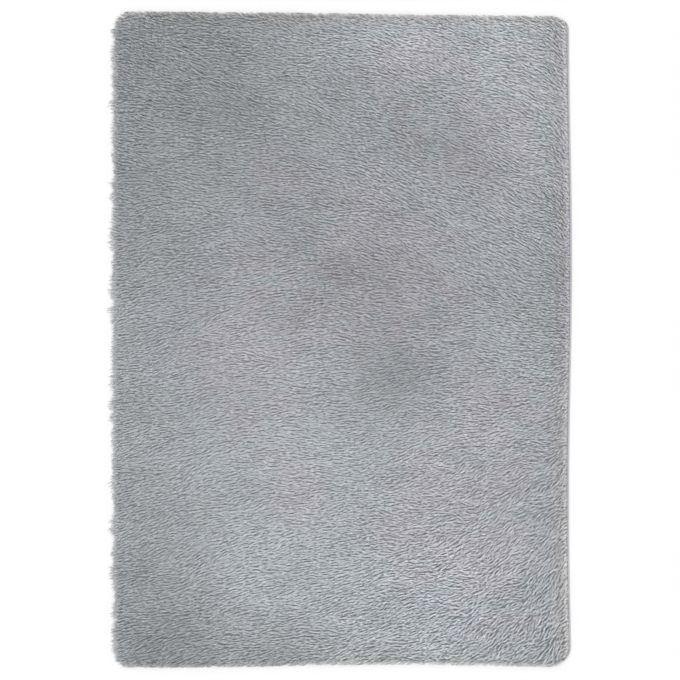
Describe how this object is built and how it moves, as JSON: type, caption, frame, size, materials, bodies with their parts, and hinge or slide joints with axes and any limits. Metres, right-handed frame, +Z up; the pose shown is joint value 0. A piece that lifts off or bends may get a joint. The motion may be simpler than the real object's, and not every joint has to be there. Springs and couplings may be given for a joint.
{
  "type": "shag rug",
  "caption": "Rectangular long-pile floor rug with rounded corners, pile brushed to one side, soft locks past three edges and a thin turned hem.",
  "frame": {"origin": "middle of the flat underside, on the floor", "axes": "+Y along the rug's length, +X across it towards the bare hem, +Z up out of the pile; the pile is brushed towards -X"},
  "size_m": [1.4182, 2.0134, 0.0336],
  "materials": {
    "pile": "long soft synthetic pile, cool light grey, brushed to one side"
  },
  "bodies": {
    "root": {"shag_rug": "pile"}
  },
  "joints": []
}
